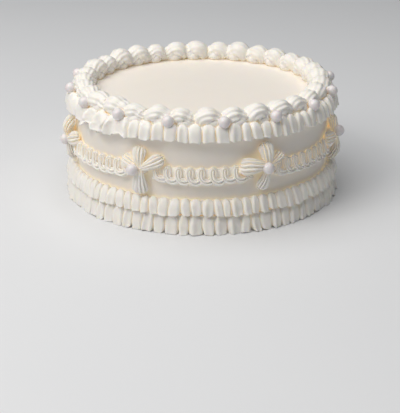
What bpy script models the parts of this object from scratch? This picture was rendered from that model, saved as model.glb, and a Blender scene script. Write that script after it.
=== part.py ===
"""A round cake in a smooth coat of buttercream, with piped borders, a rope garland, shell motifs and sugar pearls.

Metres, +Z up. The origin is the centre of the flat underside. An angle round the cake is measured at its axis from
the front (-Y) and grows towards the right (+X). Every piece keeps a hair's gap to the pieces it touches.
"""
import math
import random

import bmesh
import bpy
from mathutils import Matrix, Vector

GAP = 0.0003

# The coated cake: a 9 inch round, two layers tall.
WALL_RADIUS = 0.1168
CAKE_HEIGHT = 0.093
TOP_EDGE_ROUNDING = 0.0035
BOTTOM_EDGE_ROUNDING = 0.0010
CAKE_SEGMENTS = 80

# The pleated borders, from the lower lip to the upper one: (radius on a pleat's crest, height, depth of the pleats).
RING_BACK_RADIUS = WALL_RADIUS + GAP
LOWER_ROW_PLEATS = 76
LOWER_ROW_CREST = ((0.1262, 0.0, 0.0024), (0.1296, 0.0055, 0.0028), (0.1245, 0.0163, 0.0024))
UPPER_ROW_PLEATS = 87
UPPER_ROW_CREST = ((0.1265, 0.0166, 0.0024), (0.1288, 0.0222, 0.0028), (0.1228, 0.0310, 0.0020))
EDGE_RUFFLE_PLEATS = 76
EDGE_RUFFLE_CREST = ((0.1226, 0.0820, 0.0026), (0.1256, 0.0850, 0.0032), (0.1247, 0.0930, 0.0030),
                     (0.1208, 0.0975, 0.0018))
RAGGED_HEM = 0.0016
# Where each border's back meets the wall: its upper and lower height.
LOWER_ROW_BACK = (0.0163, 0.0)
UPPER_ROW_BACK = (0.0325, 0.0166)
EDGE_RUFFLE_BACK = (0.0970, 0.0830)
# Samples across one pleat: (share of its width, share of its depth).
PLEAT = ((0.0, 0.0), (0.42, 1.0))
PLEAT_UNEVENNESS = 0.16

# The crown: plump swirls on the rim, two between each pair of pearls.
SWIRLS = 32
SWIRL_PITCH = 2 * math.pi / SWIRLS
SWIRL_SIDES = 8
FIRST_SWIRL_ANGLE = math.radians(-13.7) + SWIRL_PITCH / 2
# (height above the cake, inner radius, outer radius, half width along the ring, lean along the ring)
SWIRL_LEVELS = (
    (GAP, 0.0990, 0.1150, 0.0106, 0.0000),
    (0.0064, 0.0974, 0.1166, 0.0120, 0.0004),
    (0.0134, 0.0996, 0.1160, 0.0094, 0.0012),
)
SWIRL_CREST = (0.0172, 0.1076, 0.0018)

# The sugar pearls.
PEARL_RADIUS = 0.0049
PEARL_DETAIL = 2
# A socket is a coarse ball, whose flat faces lie this far in from its corners.
SOCKET_DETAIL = 1
SOCKET_FACE_SHARE = 0.794
CROWN_PEARLS = 16
CROWN_PEARL_ANGLE = math.radians(-13.7)
CROWN_PEARL_PLACE = (0.1202, 0.0990)
MOTIF_PEARL_OUT = 0.1277

# The motifs: four fluted shells round a pearl. One height each, from the left front round to the right.
MOTIF_COUNT = 7
FIRST_MOTIF_ANGLE = math.radians(-77.0)
MOTIF_HEIGHTS = (0.0540, 0.0550, 0.0565, 0.0575, 0.0570, 0.0560, 0.0550)
# How far each motif's pearl was pressed in beside the middle of its shells: to the right, and up.
PEARL_SHIFTS = ((0.0, 0.0), (-0.0045, 0.0), (0.0006, 0.0005), (0.0, 0.0040), (-0.0020, 0.0010), (0.0015, 0.0),
                (-0.0010, 0.0005))
SHELL_LENGTH = 0.0202
SHELL_HALF_WIDTH = 0.0066
SHELL_THICKNESS = 0.0072
SHELL_FLUTES = 3
# Where each shell points, in degrees from straight right, as the hand left them on the first two motifs.
SHELL_DIRECTIONS = ((12.0, 84.0, 158.0, 275.0), (28.0, 97.0, 176.0, 262.0))

# The rope garland: looped piping between the motifs.
ROPE_CENTRE_HEIGHT = 0.0510
ROPE_SAG = 0.0022
ROPE_HALF_HEIGHT = 0.0074
ROPE_THICKNESS = 0.0064
ROPE_GROOVE = 0.0016
ROPE_LOOPS = 11
ROPE_END_SHARE = 0.55
ROPE_END_CLEARANCE = math.radians(10.7)

BUTTERCREAM = (0.87, 0.82, 0.74)
COAT = (0.83, 0.78, 0.69)
PEARL_WHITE = (0.78, 0.73, 0.74)

# After a Boolean, corners nearer than this are one, and faces slimmer than this are dropped.
WELD_DISTANCE = 2e-5
SLIVER_WIDTH = 1e-5

chance = random.Random(11)


def new_material(name, colour, roughness):
    """A matt or soft-gloss finish."""
    material = bpy.data.materials.new(name)
    material.use_nodes = True
    shader = material.node_tree.nodes["Principled BSDF"]
    shader.inputs["Base Color"].default_value = (*colour, 1.0)
    shader.inputs["Roughness"].default_value = roughness
    shader.inputs["Metallic"].default_value = 0.0
    return material


def new_object(name, mesh_data, material):
    """Turns a bmesh into a named object with its faces pointing out."""
    bmesh.ops.remove_doubles(mesh_data, verts=mesh_data.verts, dist=1e-6)
    bmesh.ops.recalc_face_normals(mesh_data, faces=mesh_data.faces)
    mesh = bpy.data.meshes.new(name)
    mesh_data.to_mesh(mesh)
    mesh_data.free()
    mesh.materials.append(material)
    mesh.shade_smooth()
    mesh.set_sharp_from_angle(angle=math.radians(50))
    thing = bpy.data.objects.new(name, mesh)
    bpy.context.scene.collection.objects.link(thing)
    return thing


def on_cake(angle, radius, height):
    """The point at an angle round the cake, a radius and a height."""
    return Vector((radius * math.sin(angle), -radius * math.cos(angle), height))


def add_loop(mesh_data, points, closed=True):
    """Joins points into a chain of edges and returns the edges."""
    vertices = [mesh_data.verts.new(point) for point in points]
    pairs = list(zip(vertices, vertices[1:]))
    if closed:
        pairs.append((vertices[-1], vertices[0]))
    return [mesh_data.edges.new(pair) for pair in pairs]


def drop_scraps(mesh_data):
    """Deletes everything but the largest connected piece, such as slivers that a cut leaves loose."""
    unseen = set(mesh_data.verts)
    pieces = []
    while unseen:
        piece = {unseen.pop()}
        front = list(piece)
        while front:
            for edge in front.pop().link_edges:
                for vertex in edge.verts:
                    if vertex in unseen:
                        unseen.discard(vertex)
                        piece.add(vertex)
                        front.append(vertex)
        pieces.append(piece)
    pieces.sort(key=len)
    for scrap in pieces[:-1]:
        bmesh.ops.delete(mesh_data, geom=list(scrap), context="VERTS")
    bare_edges = [edge for edge in mesh_data.edges if not edge.link_faces]
    bmesh.ops.delete(mesh_data, geom=bare_edges, context="EDGES")
    bare_points = [vertex for vertex in mesh_data.verts if not vertex.link_faces]
    bmesh.ops.delete(mesh_data, geom=bare_points, context="VERTS")


def cut_or_join(thing, others, operation):
    """Joins a list of objects to a thing, or cuts them from it, in one Boolean, and removes them."""
    group = bpy.data.collections.new(thing.name + "_tools")
    bpy.context.scene.collection.children.link(group)
    for other in others:
        bpy.context.scene.collection.objects.unlink(other)
        group.objects.link(other)
    boolean = thing.modifiers.new("boolean", "BOOLEAN")
    boolean.operand_type = "COLLECTION"
    boolean.collection = group
    boolean.operation = operation
    boolean.solver = "EXACT"
    with bpy.context.temp_override(object=thing, active_object=thing):
        bpy.ops.object.modifier_apply(modifier=boolean.name)
    for other in others:
        bpy.data.objects.remove(other, do_unlink=True)
    bpy.data.collections.remove(group)
    joined = bmesh.new()
    joined.from_mesh(thing.data)
    bmesh.ops.remove_doubles(joined, verts=joined.verts, dist=WELD_DISTANCE)
    bmesh.ops.dissolve_degenerate(joined, edges=joined.edges, dist=SLIVER_WIDTH)
    drop_scraps(joined)
    bmesh.ops.triangulate(joined, faces=joined.faces)
    joined.to_mesh(thing.data)
    joined.free()


def cake_body(material):
    """The cake with its coat, one solid as it was never cut: a turned outline."""
    outline = [(0.0, 0.0), (WALL_RADIUS - BOTTOM_EDGE_ROUNDING, 0.0), (WALL_RADIUS, BOTTOM_EDGE_ROUNDING)]
    for step in range(4):
        turn = math.radians(30 * step)
        outline.append((WALL_RADIUS - TOP_EDGE_ROUNDING * (1 - math.cos(turn)),
                        CAKE_HEIGHT - TOP_EDGE_ROUNDING * (1 - math.sin(turn))))
    outline.append((0.0, CAKE_HEIGHT))
    body = bmesh.new()
    edges = add_loop(body, [(radius, 0.0, height) for radius, height in outline], closed=False)
    bmesh.ops.spin(body, geom=body.verts[:] + edges, axis=(0, 0, 1), cent=(0, 0, 0), angle=2 * math.pi,
                   steps=CAKE_SEGMENTS, use_merge=True)
    return new_object("cake_body", body, material)


def pleat_angles(count):
    """Uneven pleats round the ring: for each sample its angle, its share of the relief, and its pleat's number."""
    widths = [1.0 + chance.uniform(-PLEAT_UNEVENNESS, PLEAT_UNEVENNESS) for _ in range(count)]
    scale = 2 * math.pi / sum(widths)
    start = 0.0
    places = []
    for number, width in enumerate(widths):
        for share, relief in PLEAT:
            places.append((start + share * width * scale, relief, number))
        start += width * scale
    return places


def stitch(mesh_data, near, far):
    """Joins two rings of (angle, vertex), with any number of vertices each, by a band of triangles."""
    here = there = 0
    while here < len(near) or there < len(far):
        next_near = near[(here + 1) % len(near)][0] + (2 * math.pi if here + 1 >= len(near) else 0.0)
        next_far = far[(there + 1) % len(far)][0] + (2 * math.pi if there + 1 >= len(far) else 0.0)
        corners = [near[here % len(near)][1], far[there % len(far)][1]]
        if there == len(far) or (here < len(near) and next_near <= next_far):
            here += 1
            corners.append(near[here % len(near)][1])
        else:
            there += 1
            corners.append(far[there % len(far)][1])
        mesh_data.faces.new(corners)


def pleated_ring(name, material, pleats, crest, back_heights, hem=0.0):
    """A border of short upright pleats round the cake, each folded over the next."""
    places = pleat_angles(pleats)
    swell = [1.0 + chance.uniform(-PLEAT_UNEVENNESS, PLEAT_UNEVENNESS) for _ in range(pleats)]
    drop = [chance.uniform(-hem, hem) for _ in range(pleats)]
    ring = bmesh.new()
    rims = []
    for level, (radius, height, depth) in enumerate(crest):
        rim = []
        for angle, relief, number in places:
            fall = drop[number] * relief if level == 0 else 0.0
            point = on_cake(angle, radius - depth * (1 - relief * swell[number]), height + fall)
            rim.append((angle, ring.verts.new(point)))
        rims.append(rim)
    folds = [angle for angle, relief, number in places if relief == 0.0]
    for height in back_heights:
        rims.append([(fold, ring.verts.new(on_cake(fold, RING_BACK_RADIUS + GAP, height))) for fold in folds])
    rims.append(rims[0])
    for lower, upper in zip(rims, rims[1:]):
        stitch(ring, lower, upper)
    return new_object(name, ring, material)


def swirl(number, material):
    """One plump swirl of the crown, leaning along the ring, uneven in size as piped by hand."""
    centre_angle = FIRST_SWIRL_ANGLE + number * SWIRL_PITCH
    growth = 1.0 + chance.uniform(-0.05, 0.05)
    shift = chance.uniform(-0.0006, 0.0006)
    blob = bmesh.new()
    chains = []
    for height, inner, outer, half_width, lean in SWIRL_LEVELS:
        middle = (inner + outer) / 2
        points = []
        for side in range(SWIRL_SIDES):
            turn = 2 * math.pi * (side + 0.5) / SWIRL_SIDES
            radius = middle + (outer - inner) / 2 * math.cos(turn) / math.cos(math.pi / SWIRL_SIDES)
            along = half_width * math.sin(turn) + lean + shift
            points.append(on_cake(centre_angle + along / middle, radius, CAKE_HEIGHT + height * growth
                                  if height > GAP else CAKE_HEIGHT + height))
        chains.append(add_loop(blob, points))
    for lower, upper in zip(chains, chains[1:]):
        bmesh.ops.bridge_loops(blob, edges=lower + upper)
    bmesh.ops.edgenet_fill(blob, edges=chains[0])
    crest_height, crest_radius, crest_lean = SWIRL_CREST
    top = blob.verts.new(on_cake(centre_angle + (crest_lean + shift) / crest_radius, crest_radius,
                                 CAKE_HEIGHT + crest_height * growth))
    for edge in chains[-1]:
        blob.faces.new((*edge.verts, top))
    return new_object("crown_swirl_%02d" % number, blob, material)


def crown(material):
    """The swirls of the rim, which all run into one another, as one border."""
    swirls = [swirl(number, material) for number in range(SWIRLS)]
    border = swirls[0]
    border.name = "crown_border"
    cut_or_join(border, swirls[1:], "UNION")
    return border


def pearl(name, place, material, radius=PEARL_RADIUS, detail=PEARL_DETAIL):
    """A round sugar pearl, or a ball that cuts its socket."""
    ball = bmesh.new()
    bmesh.ops.create_icosphere(ball, subdivisions=detail, radius=radius)
    thing = new_object(name, ball, material)
    thing.location = place
    return thing


def motif_angle(number):
    """Where a motif stands round the cake."""
    return FIRST_MOTIF_ANGLE + 2 * math.pi * number / MOTIF_COUNT


def shell(direction, length):
    """One fluted shell as piped from a star tip: it starts thick, fans out and closes in a blunt end."""
    # (share of the length, share of the half width, share of the thickness)
    stations = ((0.0, 0.62, 0.64), (0.62, 0.98, 1.0), (1.0, 0.80, 0.50))
    rays = 2 * SHELL_FLUTES + 1
    form = bmesh.new()
    chains = []
    for along, width, thick in stations:
        points = []
        for ray in range(rays):
            turn = math.pi * ray / (rays - 1)
            flute = 1.0 if ray % 2 else 0.86
            points.append((length * along, SHELL_HALF_WIDTH * width * math.cos(turn) * flute,
                           SHELL_THICKNESS * thick * math.sin(turn) * flute))
        chains.append(add_loop(form, points))
    for near, far in zip(chains, chains[1:]):
        bmesh.ops.bridge_loops(form, edges=near + far)
    for end in (chains[0], chains[-1]):
        bmesh.ops.edgenet_fill(form, edges=end)
    bmesh.ops.rotate(form, verts=form.verts, cent=(0, 0, 0), matrix=Matrix.Rotation(direction, 3, "Z"))
    return form


def motif(number, material):
    """Four shells round a middle, set on the curved wall: a flat motif bent to the cake's radius."""
    directions = SHELL_DIRECTIONS[number % len(SHELL_DIRECTIONS)]
    angle = motif_angle(number)
    height = MOTIF_HEIGHTS[number]
    shells = []
    for order, degrees in enumerate(directions):
        form = shell(math.radians(degrees), SHELL_LENGTH * (1.0 + chance.uniform(-0.05, 0.05)))
        for vertex in form.verts:
            across, up, out = vertex.co
            vertex.co = on_cake(angle + across / WALL_RADIUS, RING_BACK_RADIUS + out, height + up)
        shells.append(new_object("motif_%d_shell_%d" % (number + 1, order), form, material))
    joined = shells[0]
    joined.name = "motif_%d" % (number + 1)
    cut_or_join(joined, shells[1:], "UNION")
    return joined


def rope(number, material):
    """A stretch of looped star-tip piping from one motif to the next, hanging a little in its middle."""
    start = motif_angle(number) + ROPE_END_CLEARANCE
    end = motif_angle(number + 1) - ROPE_END_CLEARANCE
    steps = 2 * ROPE_LOOPS
    left_height = (MOTIF_HEIGHTS[number] + ROPE_CENTRE_HEIGHT) / 2
    right_height = (MOTIF_HEIGHTS[(number + 1) % MOTIF_COUNT] + ROPE_CENTRE_HEIGHT) / 2
    # (share of the half height, share of the thickness) round one cross-section, from the foot up
    section = ((-0.86, 0.0), (-1.0, 0.56), (0.0, 1.0), (1.0, 0.50), (0.86, 0.0))
    piping = bmesh.new()
    chains = []
    for step in range(steps + 1):
        share = step / steps
        middle = left_height + (right_height - left_height) * share - ROPE_SAG * math.sin(math.pi * share)
        groove = ROPE_GROOVE if step % 2 == 0 else 0.0
        narrow = ROPE_END_SHARE if step in (0, steps) else 1.0
        points = []
        for rise, out in section:
            radius = RING_BACK_RADIUS + (ROPE_THICKNESS - groove) * out * narrow
            points.append(on_cake(start + (end - start) * share, radius,
                                  middle + (ROPE_HALF_HEIGHT - groove) * rise * narrow))
        chains.append(add_loop(piping, points))
    for near, far in zip(chains, chains[1:]):
        bmesh.ops.bridge_loops(piping, edges=near + far)
    for tip in (chains[0], chains[-1]):
        bmesh.ops.edgenet_fill(piping, edges=tip)
    return new_object("rope_%d" % (number + 1), piping, material)


def build():
    """Clears the scene and models the whole cake."""
    for thing in list(bpy.data.objects):
        bpy.data.objects.remove(thing, do_unlink=True)
    coat = new_material("coat", COAT, 0.50)
    cream = new_material("buttercream", BUTTERCREAM, 0.45)
    pearl_white = new_material("sugar_pearl", PEARL_WHITE, 0.35)

    cake_body(coat)
    pleated_ring("base_row_lower", cream, LOWER_ROW_PLEATS, LOWER_ROW_CREST, LOWER_ROW_BACK)
    pleated_ring("base_row_upper", cream, UPPER_ROW_PLEATS, UPPER_ROW_CREST, UPPER_ROW_BACK)
    ruffle = pleated_ring("edge_ruffle", cream, EDGE_RUFFLE_PLEATS, EDGE_RUFFLE_CREST, EDGE_RUFFLE_BACK,
                          RAGGED_HEM)
    crown(cream)

    radius, height = CROWN_PEARL_PLACE
    crown_places = [on_cake(CROWN_PEARL_ANGLE + 2 * math.pi * number / CROWN_PEARLS, radius, height)
                    for number in range(CROWN_PEARLS)]
    socket_radius = (PEARL_RADIUS + GAP) / SOCKET_FACE_SHARE
    sockets = [pearl("socket_%02d" % number, place, pearl_white, socket_radius, SOCKET_DETAIL)
               for number, place in enumerate(crown_places)]
    cut_or_join(ruffle, sockets, "DIFFERENCE")
    for number, place in enumerate(crown_places):
        pearl("crown_pearl_%02d" % (number + 1), place, pearl_white)

    for number in range(MOTIF_COUNT):
        motif(number, cream)
        across, up = PEARL_SHIFTS[number]
        place = on_cake(motif_angle(number) + across / WALL_RADIUS, MOTIF_PEARL_OUT, MOTIF_HEIGHTS[number] + up)
        pearl("motif_pearl_%d" % (number + 1), place, pearl_white)
        rope(number, cream)


build()
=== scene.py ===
import math
import random

import bmesh
import bpy
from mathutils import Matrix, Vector, noise


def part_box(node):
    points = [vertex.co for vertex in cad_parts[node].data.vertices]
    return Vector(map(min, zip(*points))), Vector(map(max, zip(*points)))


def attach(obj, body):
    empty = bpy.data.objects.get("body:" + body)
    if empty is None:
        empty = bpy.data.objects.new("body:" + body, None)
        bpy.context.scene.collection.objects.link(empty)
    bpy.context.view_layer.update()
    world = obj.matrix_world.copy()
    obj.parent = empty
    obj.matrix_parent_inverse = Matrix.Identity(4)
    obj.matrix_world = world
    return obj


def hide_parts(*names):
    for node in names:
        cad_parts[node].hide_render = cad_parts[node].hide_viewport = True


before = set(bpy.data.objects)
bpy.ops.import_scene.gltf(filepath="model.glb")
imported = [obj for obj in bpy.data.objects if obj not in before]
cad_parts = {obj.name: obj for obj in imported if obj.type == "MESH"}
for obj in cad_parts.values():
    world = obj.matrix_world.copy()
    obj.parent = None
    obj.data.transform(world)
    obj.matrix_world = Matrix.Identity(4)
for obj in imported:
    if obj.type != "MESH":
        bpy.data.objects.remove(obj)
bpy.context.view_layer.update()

# The camera looks at the cake from a little above, with a long lens, as a shop photographs it.
# The light is a soft window from the upper left and a broad soft light overhead.
CAMERA_PLACE = (-0.0017, -1.0657, 0.4101)
CAMERA_PITCH = math.radians(22.2)
CAMERA_LENS = 108.0
SENSOR_WIDTH = 36.0
# Each light's name, place, width in metres, power in watts and colour.
LIGHTS = (
    ("window", (-1.08, -0.88, 1.22), 0.8, 10.4, (1.0, 0.965, 0.925)),
    ("overhead", (-0.38, -0.20, 1.65), 2.1, 28.0, (1.0, 0.985, 0.96)),
)
LIGHTS_AIM = (0.0, 0.0, 0.06)
ROOM_COLOUR = (0.84, 0.91, 1.0, 1.0)
ROOM_STRENGTH = 0.10

camera_data = bpy.data.cameras.new("camera")
camera_data.sensor_fit = "HORIZONTAL"
camera_data.sensor_width = SENSOR_WIDTH
camera_data.lens = CAMERA_LENS
camera = bpy.data.objects.new("camera", camera_data)
camera.location = CAMERA_PLACE
camera.rotation_euler = (math.pi / 2 - CAMERA_PITCH, 0.0, 0.0)
bpy.context.scene.collection.objects.link(camera)
bpy.context.scene.camera = camera
bpy.context.scene.view_settings.view_transform = "Standard"


def add_light(name, place, size, power, colour):
    """A square soft light that faces the middle of the cake."""
    light_data = bpy.data.lights.new(name, "AREA")
    light_data.size = size
    light_data.energy = power
    light_data.color = colour
    light = bpy.data.objects.new(name, light_data)
    light.location = place
    light.rotation_euler = (Vector(LIGHTS_AIM) - Vector(place)).to_track_quat("-Z", "Y").to_euler()
    bpy.context.scene.collection.objects.link(light)


for light_settings in LIGHTS:
    add_light(*light_settings)
world = bpy.data.worlds.new("studio")
world.use_nodes = True
background = world.node_tree.nodes["Background"]
background.inputs["Color"].default_value = ROOM_COLOUR
background.inputs["Strength"].default_value = ROOM_STRENGTH
bpy.context.scene.world = world


# The floor is a wide sheet of pale matt paper, plain all over.
# It is only what the cake stands on, and isn't part of it.
class Value:
    """One output of a finish's nodes. Sums, differences and products of values add their Math nodes."""

    def __init__(self, finish, socket):
        self.finish = finish
        self.socket = socket

    def maths(self, operation, first, second):
        return self.finish.node("Math", {"operation": operation}, {0: first, 1: second})

    def __add__(self, other):
        return self.maths("ADD", self, other)

    def __radd__(self, other):
        return self.maths("ADD", other, self)

    def __sub__(self, other):
        return self.maths("SUBTRACT", self, other)

    def __rsub__(self, other):
        return self.maths("SUBTRACT", other, self)

    def __mul__(self, other):
        return self.maths("MULTIPLY", self, other)

    def __rmul__(self, other):
        return self.maths("MULTIPLY", other, self)


class Finish:
    """A material whose Principled shader is fed by nodes."""

    def __init__(self, name, **settings):
        self.material = bpy.data.materials.new(name)
        self.material.use_nodes = True
        self.nodes = self.material.node_tree.nodes
        self.shader = self.nodes["Principled BSDF"]
        for socket, value in settings.items():
            self.shader.inputs[socket.replace("_", " ")].default_value = value

    def feed(self, target, value):
        """Links a value into a socket, or sets the socket to a plain number or colour."""
        if isinstance(value, Value):
            self.material.node_tree.links.new(value.socket, target)
        elif hasattr(value, "__len__") and len(value) == 3 and len(target.default_value) == 4:
            target.default_value = (*value, 1.0)
        else:
            target.default_value = value

    def node(self, kind, settings=None, inputs=None, output=0):
        """Adds one node: its settings first, then its inputs, and gives back one output."""
        node = self.nodes.new("ShaderNode" + kind)
        for name, value in (settings or {}).items():
            setattr(node, name, value)
        for socket, value in (inputs or {}).items():
            self.feed(node.inputs[socket], value)
        return Value(self, node.outputs[output])

    def mix(self, share, first, second):
        """Blends two colours."""
        return self.node("Mix", {"data_type": "RGBA"}, {0: share, 6: first, 7: second}, output=2)

    def spots(self, scale, detail=3.0):
        """Soft cloudy noise over the object, from 0 to 1."""
        place = self.node("TexCoord", output="Object")
        return self.node("TexNoise", inputs={"Vector": place, "Scale": scale, "Detail": detail})

    def ramp(self, value, start, full):
        """0 up to the start, 1 from full on, and a soft step between them."""
        return self.node("MapRange", {"interpolation_type": "SMOOTHSTEP"}, {0: value, 1: start, 2: full})

    def set(self, **values):
        """Feeds the shader's own sockets, named with underscores for spaces."""
        for socket, value in values.items():
            self.feed(self.shader.inputs[socket.replace("_", " ")], value)


FLOOR_HALF_WIDTH = 3.0
PAPER_TINTS = ((0.74, 0.75, 0.77), (0.76, 0.77, 0.785))
PAPER_CLOUDS = 6.0

floor_form = bmesh.new()
bmesh.ops.create_grid(floor_form, x_segments=2, y_segments=2, size=FLOOR_HALF_WIDTH)
floor_mesh = bpy.data.meshes.new("floor")
floor_form.to_mesh(floor_mesh)
floor_form.free()
floor = bpy.data.objects.new("floor", floor_mesh)
bpy.context.scene.collection.objects.link(floor)
paper = Finish("pale_paper", Roughness=0.8)
paper.set(Base_Color=paper.mix(paper.spots(PAPER_CLOUDS), *PAPER_TINTS))
floor_mesh.materials.append(paper.material)


# The coat is ivory buttercream, spread over the sponge and scraped smooth with a warm blade.
# It is one turned skin: flat on top, upright at the side, with a small soft corner between them.
WALL_RADIUS = 0.1168
CAKE_HEIGHT = 0.093
TOP_CORNER = 0.0035
FOOT_CORNER = 0.0010
COAT_TURNS = 256
WALL_RINGS = 44
TOP_RINGS = 26
CORNER_STEP = 15
# How far the scraper strays from true, and how many waves a metre that makes round the cake and up it.
SCRAPER_WANDER = 0.00035
WAVES_ROUND = 18
WAVES_UP = 40

COAT_TINT = (0.915, 0.855, 0.780)
COAT_REACH = 0.010
# Painted shade and painted light: where the cream folds, its hollows are tinted yellow, then orange, in the
# base colour, and glow with a warm emission. This stands in for light that reaches the cream only through a
# fold.
PAINTED_WARM_SHADE = (0.985, 0.89, 0.73)
PAINTED_DEEP_SHADE = (0.96, 0.73, 0.42)
PAINTED_WARM_GLOW = (0.235, 0.200, 0.140)
PAINTED_DEEP_GLOW = (0.255, 0.175, 0.080)
# Close under the rim ruffle the coat lies in plain shade, without the painted tints and glow: they start at
# the first height, going down, and are full at the second.
RUFFLE_SHADE = (0.080, 0.066)
# Whipped cream is a little cloudy, and its skin is finely pitted.
CLOUDS = 55.0
CLOUD_SHADE = 0.975
COARSE_PITS = 260.0
FINE_PITS = 900.0


def on_cake(turn, radius, height):
    """The point at an angle from the front towards the right, a radius and a height."""
    return Vector((radius * math.sin(turn), -radius * math.cos(turn), height))


def add_piece(name, form, finish, slot, *nodes):
    """Turns a form into a piece of the cake that stands for some of its solids."""
    bmesh.ops.recalc_face_normals(form, faces=form.faces)
    mesh = bpy.data.meshes.new(name)
    form.to_mesh(mesh)
    form.free()
    mesh.materials.append(finish.material)
    mesh.shade_smooth()
    piece = bpy.data.objects.new(name, mesh)
    bpy.context.scene.collection.objects.link(piece)
    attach(piece, "root")
    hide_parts(*nodes)
    return piece


def buttercream(name, tint, reach, warm, deep, glow, heights, roughness, pit_depth):
    """Whipped butter and sugar: soft and faintly translucent. Its folds get painted shade and painted light:
    ambient occlusion finds the hollows, which are tinted yellow, then orange, in the base colour and glow
    with a warm emission. reach is how far a hollow is felt, and warm and deep say how closed it is where each
    painted tint starts and is full. glow is the strength of the painted emission in the folds. The painted
    tints and glow start at the first of the heights and are full at the second. pit_depth is how deep the
    pits of the skin are."""
    finish = Finish(name, Roughness=roughness, Subsurface_Weight=0.25, Subsurface_Radius=(1.0, 0.78, 0.42),
                    Subsurface_Scale=0.0010, Specular_IOR_Level=0.36, Emission_Strength=glow)
    finish.material.cycles.emission_sampling = "NONE"
    # Painted shade and painted glow: ambient occlusion finds the hollows, which get the painted tints in the
    # base colour and the painted glow as emission.
    hollow = 1.0 - finish.node("AmbientOcclusion", {"samples": 8}, {"Distance": reach}, output="AO")
    place = finish.node("TexCoord", output="Object")
    height = finish.node("SeparateXYZ", inputs={0: place}, output="Z")
    lit = finish.ramp(height, *heights)
    colour = finish.mix(finish.spots(CLOUDS), tint, tuple(CLOUD_SHADE * part for part in tint))
    light = (0.0, 0.0, 0.0)
    for (start, full), shade, shine in ((warm, PAINTED_WARM_SHADE, PAINTED_WARM_GLOW), (deep, PAINTED_DEEP_SHADE, PAINTED_DEEP_GLOW)):
        share = lit * finish.ramp(hollow, start, full)
        colour = finish.mix(share, colour, shade)
        light = finish.mix(share, light, shine)
    relief = finish.spots(FINE_PITS, 2.0) + 0.8 * finish.spots(COARSE_PITS, 2.0)
    finish.set(Base_Color=colour, Emission_Color=light,
               Normal=finish.node("Bump", inputs={"Height": relief, "Distance": pit_depth, "Strength": 0.6}))
    return finish


coat_form = bmesh.new()
outline = [(0.0, 0.0), (WALL_RADIUS - FOOT_CORNER, 0.0)]
outline += [(WALL_RADIUS, FOOT_CORNER + (CAKE_HEIGHT - TOP_CORNER - FOOT_CORNER) * ring / WALL_RINGS)
            for ring in range(WALL_RINGS)]
outline += [(WALL_RADIUS - TOP_CORNER * (1 - math.cos(math.radians(bend))),
             CAKE_HEIGHT - TOP_CORNER * (1 - math.sin(math.radians(bend))))
            for bend in range(0, 91, CORNER_STEP)]
outline += [((WALL_RADIUS - TOP_CORNER) * (1 - ring / TOP_RINGS), CAKE_HEIGHT)
            for ring in range(1, TOP_RINGS + 1)]
chain = [coat_form.verts.new((radius, 0.0, height)) for radius, height in outline]
edges = [coat_form.edges.new(pair) for pair in zip(chain, chain[1:])]
bmesh.ops.spin(coat_form, geom=chain + edges, axis=(0, 0, 1), cent=(0, 0, 0), angle=2 * math.pi,
               steps=COAT_TURNS, use_merge=True)
bmesh.ops.remove_doubles(coat_form, verts=coat_form.verts, dist=1e-6)
for vertex in coat_form.verts:
    height = vertex.co.z
    if height > FOOT_CORNER:
        stretched = Vector((vertex.co.x * WAVES_ROUND, vertex.co.y * WAVES_ROUND, height * WAVES_UP))
        wander = SCRAPER_WANDER * noise.noise(stretched)
        if height >= CAKE_HEIGHT - 1e-6:
            vertex.co.z += 0.5 * wander
        else:
            vertex.co *= 1.0 + wander / WALL_RADIUS
            vertex.co.z = height
# The coat's finish has painted shade and a painted glow in its hollows.
coat_finish = buttercream("coat_buttercream", COAT_TINT, reach=COAT_REACH, warm=(0.12, 0.70),
                          deep=(0.95, 1.0), glow=0.60, heights=RUFFLE_SHADE, roughness=0.46,
                          pit_depth=0.00004)
add_piece("coat", coat_form, coat_finish, "coat", "cake_body")


# The two rows at the foot are pleats of buttercream, piped with a petal tip that is pushed down and drawn up
# again and again. Each pleat is a soft upright fold that leans on the last, over a plain band piped first.
# Its hem is cut off by the tip, so it is thin, a little ragged and turned outwards.
LOWER_PLEATS = 76
UPPER_PLEATS = 87
PLEAT_SIDES = 26
PLEAT_ROWS = 20
# The plain band behind each row, as (radius, height) points.
LOWER_BAND = ((0.1160, 0.0), (0.1222, 0.0), (0.1226, 0.006), (0.1218, 0.0155), (0.1160, 0.0155))
UPPER_BAND = ((0.1160, 0.0168), (0.1208, 0.0168), (0.1216, 0.022), (0.1204, 0.0275), (0.1160, 0.0290))
BAND_TURNS = 192
# How square a pleat's shoulder is from side to side and outwards, and how boxy the pleat is all round.
SHOULDER_ACROSS = 5.0
SHOULDER_OUT = 2.4
BOXINESS = 0.78
# How fast the flare, the rags and the splay of the hem fade upwards.
HEM_FADE = 2.8
# How much each pleat bends in towards its top, as a share of its depth.
TOP_TUCK = 0.30
HEM_ROUNDING = 0.0009
# Soft dents in the cream, as (depth, waves a metre).
BROAD_DENTS = (0.00035, 150.0)
SMALL_DENTS = (0.00015, 420.0)
# Where the rim is frilly, the pleats are creased by this much more, and their hems hang this much lower.
FRILL_CREASES = 0.0015
FRILL_DROP = 0.0008
# How far a pleat is turned on the wall, in degrees, and how much that varies.
PLEAT_TURN = 10
PLEAT_TURN_VARIES = 12
HEM_CUT = -0.9
HEM_RING = math.sqrt(1 - HEM_CUT ** 2)
# The soft unevenness of all the piping is drawn from one fixed seed, so that it is the same each time.
UNEVENNESS_SEED = 5
noise.seed_set(UNEVENNESS_SEED)

ball_meshes = {}


def add_ball(form, sides, rows):
    """Adds a ball of radius 1 with its poles on Z, and gives back its vertices."""
    if (sides, rows) not in ball_meshes:
        ball = bmesh.new()
        bmesh.ops.create_uvsphere(ball, u_segments=sides, v_segments=rows, radius=1.0)
        ball_meshes[sides, rows] = bpy.data.meshes.new("ball")
        ball.to_mesh(ball_meshes[sides, rows])
        ball.free()
    start = len(form.verts)
    form.from_mesh(ball_meshes[sides, rows])
    form.verts.ensure_lookup_table()
    return form.verts[start:]


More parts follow.
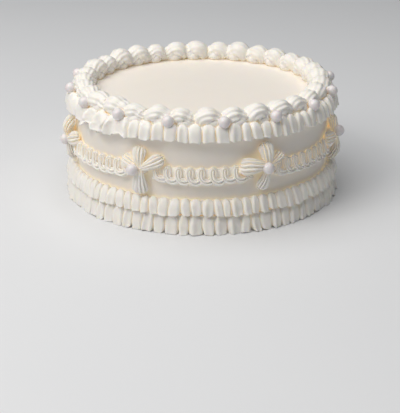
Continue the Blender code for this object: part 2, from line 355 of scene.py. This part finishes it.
def add_band(form, outline):
    """Turns a closed outline of (radius, height) round the cake's axis."""
    chain = [form.verts.new((radius, 0.0, height)) for radius, height in outline]
    edges = [form.edges.new(pair) for pair in zip(chain, chain[1:] + chain[:1])]
    bmesh.ops.spin(form, geom=chain + edges, axis=(0, 0, 1), cent=(0, 0, 0), angle=2 * math.pi,
                   steps=BAND_TURNS, use_merge=True)
    bmesh.ops.remove_doubles(form, verts=form.verts, dist=1e-6)


def squared(part):
    """Pushes a sine out towards 1 or -1, so that a round outline turns into a box with round corners."""
    return math.copysign(abs(part) ** BOXINESS, part)


def add_pleat(form, turn, hem, top, radius, width, depth, lean, twist, flare, trough, ragged, corner, foot,
              crumple, phase):
    """One pleat: a ball squared into a soft upright fold with a round shoulder and a cut-off hem. It leans
    and twists, its hem flares out, and its face is hollowed by a trough. ragged, corner and foot say how far
    the hem waves, how far its corners are drawn and how far it splays, and crumple how creased it is."""
    for vertex in add_ball(form, PLEAT_SIDES, PLEAT_ROWS):
        angle = math.atan2(vertex.co.x, -vertex.co.y)
        ring = 1.0
        if vertex.co.z < HEM_CUT:
            ring = min(1.0, math.sqrt(max(0.0, 1 - vertex.co.z ** 2)) / HEM_RING)
        height = max(0.0, (vertex.co.z - HEM_CUT) / (1 - HEM_CUT))
        across = squared(math.sin(angle)) * ring * math.sqrt(max(0.0, 1 - height ** SHOULDER_ACROSS))
        out = squared(math.cos(angle)) * ring * math.sqrt(max(0.0, 1 - height ** SHOULDER_OUT))
        low = max(0.0, 1 - HEM_FADE * height)
        bulge = out * depth * (1 - trough * math.cos(math.pi * across)) + flare * low ** 2
        bulge -= TOP_TUCK * depth * height ** 2
        sideways = across * width / 2 * (1.0 + foot * low)
        rise = hem + (top - hem) * height + HEM_ROUNDING * (1 - ring)
        rise += ragged * low * (math.sin(3.1 * across + phase) + 0.5 * math.sin(9 * across + 2 * phase))
        rise += corner * low * across ** 2
        around = sideways * math.cos(twist) + bulge * math.sin(twist) + lean * (rise - (hem + top) / 2)
        away = bulge * math.cos(twist) - sideways * math.sin(twist)
        place = on_cake(turn + around / radius, radius + away, rise)
        place += (BROAD_DENTS[0] + crumple) * noise.noise_vector(place * BROAD_DENTS[1])
        place += (SMALL_DENTS[0] + 0.4 * crumple) * noise.noise_vector(place * SMALL_DENTS[1])
        vertex.co = (place.x, place.y, max(0.0, place.z))


def add_pleats(form, count, hem, top, radius, depth, seed, ragged, flare, frilly=lambda turn: 0.0):
    """A whole row of uneven pleats. frilly says how loose and wide they are at an angle, from 0 to 1."""
    chance = random.Random(seed)
    pitch = 2 * math.pi / count
    widths = [(1.0 + chance.uniform(-0.2, 0.2)) * (1 + 0.75 * frilly(number * pitch))
              for number in range(count)]
    scale = 2 * math.pi / sum(widths)
    turn = 0.0
    for width in widths:
        step = width * scale
        loose = frilly(turn)
        add_pleat(form, turn + step / 2,
                  hem=hem + chance.uniform(-0.7, 0.7) * ragged - FRILL_DROP * loose ** 2,
                  top=top + chance.uniform(-0.5, 0.5) * ragged,
                  radius=radius,
                  width=step * radius * (1.03 + 0.20 * loose),
                  depth=depth * (1.0 + chance.uniform(-0.12, 0.12) + 0.25 * loose),
                  lean=chance.uniform(-0.10, 0.12),
                  twist=math.radians(PLEAT_TURN + chance.uniform(-PLEAT_TURN_VARIES, PLEAT_TURN_VARIES)
                                     * (1 + 1.3 * loose)),
                  flare=flare * chance.uniform(0.2, 1.2) * (1 + 1.8 * loose),
                  trough=chance.uniform(0.04, 0.28) + 0.25 * loose,
                  ragged=ragged * (0.35 + 1.3 * loose),
                  corner=ragged * chance.uniform(-0.4, 1.7) * (1 - loose),
                  foot=chance.uniform(-0.22, 0.04) + 0.25 * loose,
                  crumple=FRILL_CREASES * loose,
                  phase=chance.uniform(0, 2 * math.pi))
        turn += step


PIPING_TINT = (0.92, 0.89, 0.835)
PIPING_REACH = 0.0050
# At the very foot the folds stay in plain shade, without the painted tints and glow: they start at the first
# height and are full at the second.
FOOT_SHADE = (0.0008, 0.0060)
PIPING_ROUGHNESS = 0.42
PIPING_PITS = 0.00003

# The piping's finish has painted shade and a painted glow in its hollows.
piping = buttercream("piped_buttercream", PIPING_TINT, reach=PIPING_REACH, warm=(0.50, 0.86),
                     deep=(0.87, 0.98), glow=0.42, heights=FOOT_SHADE, roughness=PIPING_ROUGHNESS,
                     pit_depth=PIPING_PITS)

lower_form = bmesh.new()
add_band(lower_form, LOWER_BAND)
add_pleats(lower_form, LOWER_PLEATS, hem=0.0001, top=0.0172, radius=0.1219, depth=0.0050, seed=27,
           ragged=0.0009, flare=0.0014)
add_piece("lower_row", lower_form, piping, "buttercream", "base_row_lower")

upper_form = bmesh.new()
add_band(upper_form, UPPER_BAND)
add_pleats(upper_form, UPPER_PLEATS, hem=0.0168, top=0.0308, radius=0.1212, depth=0.0050, seed=22,
           ragged=0.0010, flare=0.0012)
add_piece("upper_row", upper_form, piping, "buttercream", "base_row_upper")


# The ruffle that hangs over the rim is piped with the same tip, pulled further out and down.
# Its hems are more ragged, and on the left front it widens into loose frilly petals.
RUFFLE_PLEATS = 76
RUFFLE_BAND = ((0.1160, 0.0852), (0.1200, 0.0850), (0.1208, 0.0890), (0.1194, 0.0938), (0.1160, 0.0945))
FRILL_MIDDLE = math.radians(-48.0)
FRILL_HALF_WIDTH = math.radians(17.0)


def loose_at(turn):
    """1 in the middle of the frilly stretch, 0 outside it."""
    off = (turn - FRILL_MIDDLE + math.pi) % (2 * math.pi) - math.pi
    return max(0.0, 1.0 - (off / FRILL_HALF_WIDTH) ** 2)


ruffle_form = bmesh.new()
add_band(ruffle_form, RUFFLE_BAND)
add_pleats(ruffle_form, RUFFLE_PLEATS, hem=0.0826, top=0.0972, radius=0.1200, depth=0.0052, seed=23,
           ragged=0.0013, flare=0.0012, frilly=loose_at)
add_piece("rim_ruffle", ruffle_form, piping, "buttercream", "edge_ruffle")


# The crown is a shell border: each shell is squeezed into a plump head, drawn off to the right into a tail,
# and the next head is set down on that tail. A wide star tip leaves soft ridges that arch over each shell.
SHELLS = 32
SHELL_STEP = 2 * math.pi / SHELLS
FIRST_CROWN_PEARL = math.radians(-13.7)
CROWN_RADIUS = 0.1076
CROWN_BAND = ((0.1060, 0.0926), (0.1172, 0.0926), (0.1172, 0.0950), (0.1125, 0.0972), (0.1080, 0.0960))
MM = 0.001
# How far piping sinks into what carries it.
SUNK = 0.0004
# Where the tip goes for one shell, in mm: along the rim, across it, up, and half the cream's thickness there.
CROWN_STROKE = ((-2.0, 0, 0.6, 0.0), (-5.8, 0, 2.4, 5.6), (-6.0, 0, 5.4, 7.9), (-3.4, 0, 7.9, 8.9),
                (0.6, 0, 8.4, 8.7), (3.4, 0, 7.6, 7.3), (5.8, 0, 6.2, 7.5), (9.2, 0, 4.6, 6.0),
                (13.0, 0, 3.2, 4.2), (16.0, 0, 2.4, 2.7), (18.2, 0, 1.8, 0.0))
# What fills the arch of each shell, as half its length, width and height in mm.
HEART = (8.6, 9.7, 6.1)
CROWN_ROWS = 42
CROWN_SIDES = 66
HEART_SIDES = 24
HEART_ROWS = 12
# The length in mm over which a shell strays sideways by its whole swing.
SWING_LENGTH = 12
# The front shells lie lower, and lean out over the rim.
FRONT_DROP = 0.07
FRONT_LEAN = 0.0020
CROWN_RIDGES = 11
# A shell's width against its thickness, and how softly its ridges are rounded.
CROWN_WIDTH = 1.16
CROWN_SOFTNESS = 1.5
# How deep the hollows between the ridges are at the head, and how much deeper the tails in front are cut.
HEAD_GROOVE = 0.05
FRONT_GROOVE = 0.22
# Where the heart of a shell is, in mm along the rim, and how far it stands up, against its half height.
HEART_ALONG = 1.5
HEART_LIFT = 0.55
# Dents in the crown, as (depth, waves a metre). The front shells are dented more.
CROWN_DENTS = (0.0006, 90.0)
FRONT_DENTS = 0.0004
CROWN_SMALL_DENTS = (0.0003, 230.0)
CROWN_PITS = (0.00012, 600.0)


def smooth_stroke(stroke, rows):
    """A smooth curve through the stroke's points, as rows + 1 points."""
    points = [Vector(point) for point in stroke]
    points = [points[0]] + points + [points[-1]]
    smooth = []
    for row in range(rows + 1):
        place = row / rows * (len(stroke) - 1)
        number = min(int(place), len(stroke) - 2)
        part = place - number
        a, b, c, d = points[number:number + 4]
        smooth.append(0.5 * (2 * b + (c - a) * part + (2 * a - 5 * b + 4 * c - d) * part ** 2
                             + (3 * b - a - 3 * c + d) * part ** 3))
    return smooth


def squeeze(form, spine, sides, ridges, grooves, wide, put, twist=0.0, start=0.0, fray=0.0, crisp=0.8):
    """Cream squeezed from a star tip: a ball drawn out along a spine of (along, across, up, thickness)
    points, one for each of its rows, with its ridges lengthwise. grooves says how deep the hollows between
    the ridges are at either end, as a share of the thickness, and wide is the width against it. twist turns
    the ridges from end to end, from where start sets them. fray is how far they stand out past the hollows
    at the head, and crisp, the lower the sharper, is how the hollows are cut.
    put takes (along, across, up) to the cake."""
    rows = len(spine) - 1
    places = [point.xyz for point in spine]
    frames = []
    for row, place in enumerate(places):
        heading = (places[min(row + 1, rows)] - places[max(row - 1, 0)]).normalized()
        side = Vector((0, 1, 0)) - heading * heading.y
        side.normalize()
        frames.append((place, heading, side, side.cross(heading), max(0.0, spine[row].w)))
    for vertex in add_ball(form, sides, rows):
        row = round(math.acos(max(-1.0, min(1.0, vertex.co.z))) / math.pi * rows)
        angle = math.atan2(vertex.co.y, vertex.co.x)
        place, heading, side, lift, thick = frames[row]
        ridge = abs(math.cos(ridges * (angle + start + twist * row / rows) / 2)) ** crisp
        groove = grooves[0] + (grooves[1] - grooves[0]) * (row / rows) ** 1.5
        size = thick * (1.0 - groove + groove * ridge)
        spot = place - side * size * wide * math.sin(angle) + lift * size * math.cos(angle)
        spot -= heading * fray * ridge * max(0.0, 1 - 5 * row / rows)
        vertex.co = put(*spot)


crown_form = bmesh.new()
add_band(crown_form, CROWN_BAND)
chance = random.Random(31)
for number in range(SHELLS):
    shell_turn = FIRST_CROWN_PEARL + (number + 0.5) * SHELL_STEP + chance.uniform(-0.006, 0.006)
    front = max(0.0, math.cos(shell_turn))
    size = 1.0 + chance.uniform(-0.08, 0.07)
    height = size * (1 - FRONT_DROP * front)
    swing = chance.uniform(-1.4, 1.4)
    stroke = [(along * size * (1 + chance.uniform(-0.05, 0.05)), across + swing * along / SWING_LENGTH,
               up * height + chance.uniform(-0.3, 0.3), thick * (size + height) / 2)
              for along, across, up, thick in CROWN_STROKE]
    middle = CROWN_RADIUS + FRONT_LEAN * front + chance.uniform(-0.0006, 0.0006)

    def on_rim(along, across, up):
        """A point of this shell, from mm along the rim, across it and up."""
        place = on_cake(shell_turn + along * MM / CROWN_RADIUS, middle + across * MM, CAKE_HEIGHT + up * MM)
        place += (CROWN_DENTS[0] + FRONT_DENTS * front) * noise.noise_vector(place * CROWN_DENTS[1])
        place += CROWN_SMALL_DENTS[0] * noise.noise_vector(place * CROWN_SMALL_DENTS[1])
        place.z = max(CAKE_HEIGHT - SUNK, place.z)
        return place + CROWN_PITS[0] * noise.noise_vector(place * CROWN_PITS[1])

    squeeze(crown_form, smooth_stroke(stroke, CROWN_ROWS), CROWN_SIDES, CROWN_RIDGES,
            grooves=(HEAD_GROOVE, chance.uniform(0.09, 0.16) + FRONT_GROOVE * front), wide=CROWN_WIDTH,
            put=on_rim, twist=chance.uniform(-0.4, 0.4), start=chance.uniform(0, 1), crisp=CROWN_SOFTNESS)
    for vertex in add_ball(crown_form, HEART_SIDES, HEART_ROWS):
        vertex.co = on_rim(HEART_ALONG + HEART[0] * vertex.co.x, HEART[1] * vertex.co.y,
                           HEART[2] * (vertex.co.z + HEART_LIFT) * height)
add_piece("crown_shells", crown_form, piping, "buttercream", "crown_border")


# Sugar pearls sit in the hollows outside the crown, one to every two shells, pressed into the ruffle.
# They are hard sugar balls with a cool, faintly lilac pearl shine.
PEARL_RADIUS = 0.0049
# A pearl's size against its solid's.
PEARL_SWELL = 1.05
PEARL_SIDES = 40
PEARL_ROWS = 20
PEARL_TINTS = ((0.77, 0.72, 0.725), (0.86, 0.825, 0.82))
# How far a pearl is out of round, as a share of its radius.
OUT_OF_ROUND = 0.012

pearl_finish = Finish("sugar_pearl_shine", Roughness=0.32, Specular_IOR_Level=0.55, Coat_Weight=0.35,
                      Coat_Roughness=0.2, Subsurface_Weight=0.1, Subsurface_Scale=0.001)
cloud = pearl_finish.spots(260.0)
pearl_finish.set(Base_Color=pearl_finish.mix(cloud, *PEARL_TINTS),
                 Normal=pearl_finish.node("Bump", inputs={"Height": pearl_finish.spots(700.0),
                                                          "Distance": 0.00003, "Strength": 0.5}))


def add_pearl(form, node):
    """A pearl where its solid is, a hair out of round."""
    low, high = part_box(node)
    centre = (low + high) / 2
    for vertex in add_ball(form, PEARL_SIDES, PEARL_ROWS):
        vertex.co *= PEARL_RADIUS * PEARL_SWELL
        vertex.co *= 1.0 + OUT_OF_ROUND * noise.noise(vertex.co * 300.0 + centre * 50.0)
        vertex.co += centre


crown_pearls = ["crown_pearl_%02d" % number for number in range(1, 17)]
pearl_form = bmesh.new()
for node in crown_pearls:
    add_pearl(pearl_form, node)
add_piece("crown_pearls", pearl_form, pearl_finish, "sugar_pearl", *crown_pearls)


# Each motif on the wall is four star-tip shells set in a cross, heads outwards, tails meeting under a pearl.
# No two are quite alike, because each shell is turned and sized one by one.
MOTIFS = 7
FIRST_MOTIF = math.radians(-77.0)
MOTIF_HEIGHTS = (0.0540, 0.0550, 0.0565, 0.0575, 0.0570, 0.0560, 0.0550)
# How far each motif is set to the right of its even share of the wall.
MOTIF_SHIFTS = (0.0, 0.0, 0.0026, 0.0, 0.0, 0.0, 0.0)
# For each shell of a motif: where it points, in degrees from straight right, how far its stroke bends, in mm,
# its size, how far it arches off the wall, in mm, and its width against its thickness.
MOTIF_SHELLS = (
    ((12, 2.0, 1.0, 2.0, 1.5), (88, 0.0, 1.04, 4.5, 1.5),
     (160, -2.0, 1.0, 1.0, 1.5), (272, 0.0, 0.9, 2.0, 1.4)),
    ((97, -1.0, 0.92, 0.5, 1.5), (152, 2.0, 0.88, 0.0, 1.6),
     (268, 0.0, 1.10, 1.0, 1.5), (27, 1.0, 1.10, 1.5, 1.2)),
    ((38, -3.0, 0.86, 0.5, 1.1), (154, 7.0, 1.10, 3.5, 1.5),
     (262, -2.0, 1.0, 1.5, 1.2), (92, 1.0, 1.04, 2.0, 1.4)),
    ((15, 1.0, 0.95, 1.5, 1.4), (80, 1.0, 0.9, 1.0, 1.4),
     (170, 2.0, 1.0, 2.0, 1.4), (266, 2.0, 1.10, 4.5, 1.3)),
    ((28, 2.0, 1.0, 1.0, 1.4), (155, 3.0, 0.95, 1.5, 1.5),
     (270, 1.0, 1.0, 0.5, 1.3), (92, 0.0, 1.0, 1.5, 1.5)),
    ((18, -1.0, 0.95, 0.5, 1.5), (97, 1.0, 1.0, 1.0, 1.4),
     (168, -3.0, 1.0, 2.0, 1.3), (266, 0.0, 1.05, 1.0, 1.5)),
    ((88, -1.0, 0.96, 1.5, 1.5), (158, 2.0, 1.0, 0.5, 1.4),
     (274, 1.0, 1.0, 1.0, 1.4), (24, 1.0, 1.05, 1.5, 1.3)),
)
# One shell, in mm from its head inwards: along the wall, across the stroke, out, and half the thickness.
MOTIF_STROKE = ((18.2, 0, 2.4, 0.0), (18.4, 0, 2.8, 3.4), (17.2, 0, 3.4, 4.6), (14.4, 0, 4.1, 4.6),
                (11.0, 0, 4.7, 4.0), (7.6, 0, 5.2, 3.3), (4.2, 0, 5.6, 2.7), (1.0, 0, 5.6, 2.2),
                (-1.5, 0, 5.0, 0.0))
# The lengths along the stroke, in mm, over which a shell bends and arches.
BEND_LENGTH = 18
ARCH_LENGTH = 19
MOTIF_ROWS = 40
MOTIF_SIDES = 99
MOTIF_RIDGES = 11
MOTIF_GROOVES = (0.60, 0.45)
MOTIF_FRAY = 1.1
MOTIF_DENTS = (0.0004, 200.0)
MOTIF_PITS = (0.0002, 500.0)
# The blob of cream under the pearl, as its half width and half depth.
BLOB_WIDTH = 0.0062
BLOB_DEPTH = 0.0070
BLOB_SIDES = 24
BLOB_ROWS = 12
# A small star tip cuts fine ridges. Low on the motifs and the garland the hollows between them stay in plain
# shade, without the painted tints and glow: they start at the first height and are full at the second.
STAR_SHADE = (0.0470, 0.0530)

# The star piping's finish has painted shade and a painted glow in its hollows.
star_piping = buttercream("star_piped_buttercream", PIPING_TINT, reach=PIPING_REACH, warm=(0.32, 0.70),
                          deep=(0.92, 1.0), glow=0.46, heights=STAR_SHADE, roughness=PIPING_ROUGHNESS,
                          pit_depth=PIPING_PITS)

for number in range(MOTIFS):
    chance = random.Random(41 + number)
    motif_turn = FIRST_MOTIF + 2 * math.pi * number / MOTIFS
    motif_form = bmesh.new()
    for vertex in add_ball(motif_form, BLOB_SIDES, BLOB_ROWS):
        side = vertex.co.x * BLOB_WIDTH
        up = vertex.co.y * BLOB_WIDTH
        out = max(-0.1, vertex.co.z) * BLOB_DEPTH
        vertex.co = on_cake(motif_turn + (MOTIF_SHIFTS[number] + side) / WALL_RADIUS, WALL_RADIUS + out,
                            MOTIF_HEIGHTS[number] + up)
    for degrees, bend, size, arch, wide in MOTIF_SHELLS[number]:
        pointing = math.radians(degrees)
        stroke = [(along, bend * (along / BEND_LENGTH) ** 2,
                   out + arch * math.sin(math.pi * max(0.0, along) / ARCH_LENGTH), thick)
                  for along, across, out, thick in MOTIF_STROKE]

        def on_wall(along, across, out):
            """A point of this shell, from mm along its stroke, across it and off the wall."""
            right = (along * math.cos(pointing) - across * math.sin(pointing)) * MM * size
            right += MOTIF_SHIFTS[number]
            up = (along * math.sin(pointing) + across * math.cos(pointing)) * MM * size
            place = on_cake(motif_turn + right / WALL_RADIUS, WALL_RADIUS + max(-SUNK, out * MM),
                            MOTIF_HEIGHTS[number] + up)
            dent = MOTIF_DENTS[0] * noise.noise_vector(place * MOTIF_DENTS[1])
            return place + dent + MOTIF_PITS[0] * noise.noise_vector(place * MOTIF_PITS[1])

        squeeze(motif_form, smooth_stroke(stroke, MOTIF_ROWS), MOTIF_SIDES, MOTIF_RIDGES, MOTIF_GROOVES,
                wide, on_wall, twist=chance.uniform(-0.5, 0.5), start=chance.uniform(-0.3, 0.3),
                fray=MOTIF_FRAY)
    motif_number = number + 1
    add_piece("motif_%d_shells" % motif_number, motif_form, star_piping, "buttercream",
              "motif_%d" % motif_number)

motif_pearls = ["motif_pearl_%d" % number for number in range(1, MOTIFS + 1)]
pearl_form = bmesh.new()
for node in motif_pearls:
    add_pearl(pearl_form, node)
add_piece("motif_pearls", pearl_form, pearl_finish, "sugar_pearl", *motif_pearls)


# The garland between the motifs is one long squeeze from a small star tip, written in a row of loops:
# forward along the bottom, up, back over the top and down across the last stroke.
ROPE_HEIGHT = 0.0510
ROPE_SAG = 0.0020
# Half the strand's thickness, in mm, and how far its middle is off the wall, against that.
ROPE_CREAM = 2.35
ROPE_OFF_WALL = 0.75
# The strand is fatter along the bottom, where the tip slows down.
BOTTOM_SWELL = 0.50
SWELL_SHARPNESS = 1.5
# From one loop to the next, how far the tip swings back and forth, rises and is lifted off the wall, in mm.
LOOP_PITCH = 9.4
LOOP_SWING = 3.5
LOOP_RISE = 5.4
LOOP_LIFT = 2.2
# How far before the bottom the tip is lifted most, in radians of a loop, and how sharply.
LIFT_EARLY = 0.7
LIFT_SHARPNESS = 1.3
# The strand thins out to nothing in a third of a loop at either end.
END_TAPER = 3.0
ROPE_DENTS = (0.00015, 400.0)
ROPE_RIDGES = 6
ROPE_GROOVE = 0.60
ROPE_GAP_TO_MOTIF = math.radians(4.6)
ROPE_SIDES = 48
ROWS_A_LOOP = 30
# What has run together behind the loops.
FILLING_ROWS = 60
FILLING_SIDES = 16
FILLING_CREAM = 5.6
FILLING_DEPTH = 0.4
FILLING_FLATNESS = 0.45

for number in range(MOTIFS):
    chance = random.Random(51 + number)
    first = FIRST_MOTIF + 2 * math.pi * number / MOTIFS + ROPE_GAP_TO_MOTIF
    length = (2 * math.pi / MOTIFS - 2 * ROPE_GAP_TO_MOTIF) * WALL_RADIUS * 1000
    loops = round(length / LOOP_PITCH)
    pitch = length / loops
    tall = [1.0 + chance.uniform(-0.08, 0.08) for _ in range(loops + 2)]
    shift = [chance.uniform(-0.6, 0.6) for _ in range(loops + 2)]
    left = (MOTIF_HEIGHTS[number] + ROPE_HEIGHT) / 2
    right = (MOTIF_HEIGHTS[(number + 1) % MOTIFS] + ROPE_HEIGHT) / 2
    rows = loops * ROWS_A_LOOP
    spine = []
    for row in range(rows + 1):
        time = row / ROWS_A_LOOP
        loop = min(int(time), loops)
        part = time - loop
        wave = 2 * math.pi * time
        lifted = (0.5 + 0.5 * math.cos(wave + LIFT_EARLY)) ** LIFT_SHARPNESS
        end = min(1.0, END_TAPER * time, END_TAPER * (loops - time)) ** 0.5
        along = pitch * time + LOOP_SWING * math.sin(wave) + shift[loop] * (1 - part) + shift[loop + 1] * part
        rise = LOOP_RISE * (tall[loop] * (1 - part) + tall[loop + 1] * part)
        swell = 1.0 + BOTTOM_SWELL * (0.5 + 0.5 * math.cos(wave)) ** SWELL_SHARPNESS
        spine.append(Vector((along, ROPE_CREAM * ROPE_OFF_WALL + LOOP_LIFT * lifted,
                             -rise * squared(math.cos(wave)), ROPE_CREAM * swell * end)))

    def on_garland(along, out, up):
        """A point of this stretch, from mm along it, off the wall and up from its sagging middle line."""
        run = max(0.0, min(1.0, along / length))
        base = left + (right - left) * run - ROPE_SAG * math.sin(math.pi * run)
        place = on_cake(first + along * MM / WALL_RADIUS, WALL_RADIUS + max(-SUNK, out * MM), base + up * MM)
        return place + ROPE_DENTS[0] * noise.noise_vector(place * ROPE_DENTS[1])

    rope_form = bmesh.new()
    squeeze(rope_form, spine, ROPE_SIDES, ROPE_RIDGES, (ROPE_GROOVE, ROPE_GROOVE), wide=1.0, put=on_garland)
    filling = [Vector((length * row / FILLING_ROWS, FILLING_DEPTH, 0.0,
                       FILLING_CREAM if 0 < row < FILLING_ROWS else 0.0))
               for row in range(FILLING_ROWS + 1)]
    squeeze(rope_form, filling, FILLING_SIDES, 2, (0.0, 0.0), wide=FILLING_FLATNESS, put=on_garland)
    rope_number = number + 1
    add_piece("rope_%d_loops" % rope_number, rope_form, star_piping, "buttercream", "rope_%d" % rope_number)
